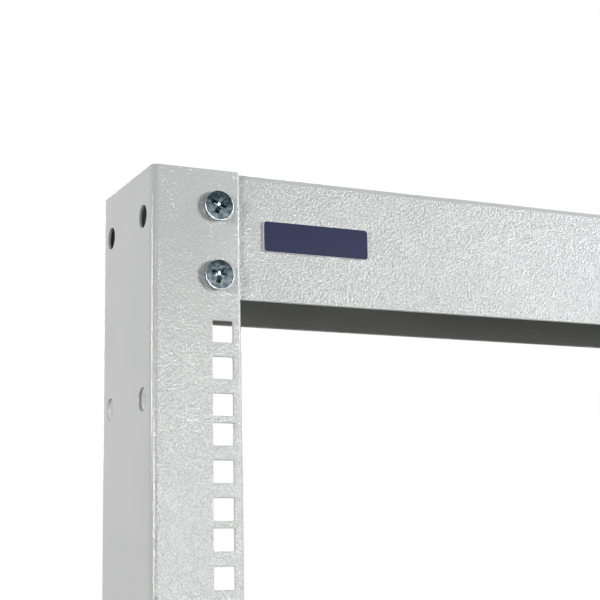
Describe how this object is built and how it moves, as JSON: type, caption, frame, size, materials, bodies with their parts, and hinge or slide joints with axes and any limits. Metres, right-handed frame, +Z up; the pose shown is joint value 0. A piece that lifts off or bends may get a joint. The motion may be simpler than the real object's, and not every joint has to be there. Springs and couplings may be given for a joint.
{
  "type": "two post open frame rack",
  "caption": "Free-standing open frame rack: two folded sheet posts with square equipment holes, joined by crossbars and standing on base channels with levelling feet.",
  "frame": {"origin": "on the floor, under the middle of the frame", "axes": "+X to the right seen from the front, +Y from the front to the back, +Z up"},
  "size_m": [0.563, 0.56, 1.2708],
  "materials": {
    "frame_paint": "light grey textured powder coat",
    "badge_face": "bare dark blue plate with a pale edge",
    "zinc_steel": "bright zinc plated",
    "foot_plastic": "black moulded"
  },
  "bodies": {
    "root": {"left_post": "frame_paint", "right_post": "frame_paint", "top_crossbar": "frame_paint", "bottom_crossbar": "frame_paint", "name_badge": "badge_face", "left_leg": "frame_paint", "right_leg": "frame_paint", "left_gusset": "frame_paint", "right_gusset": "frame_paint", "left_foot_pads": "foot_plastic", "left_foot_studs": "zinc_steel", "right_foot_pads": "foot_plastic", "right_foot_studs": "zinc_steel", "top_left_front_nut_plate": "zinc_steel", "top_left_rear_nut_plate": "zinc_steel", "top_right_front_nut_plate": "zinc_steel", "top_right_rear_nut_plate": "zinc_steel", "bottom_left_front_nut_plate": "zinc_steel", "bottom_left_rear_nut_plate": "zinc_steel", "bottom_right_front_nut_plate": "zinc_steel", "bottom_right_rear_nut_plate": "zinc_steel"}
  },
  "joints": []
}
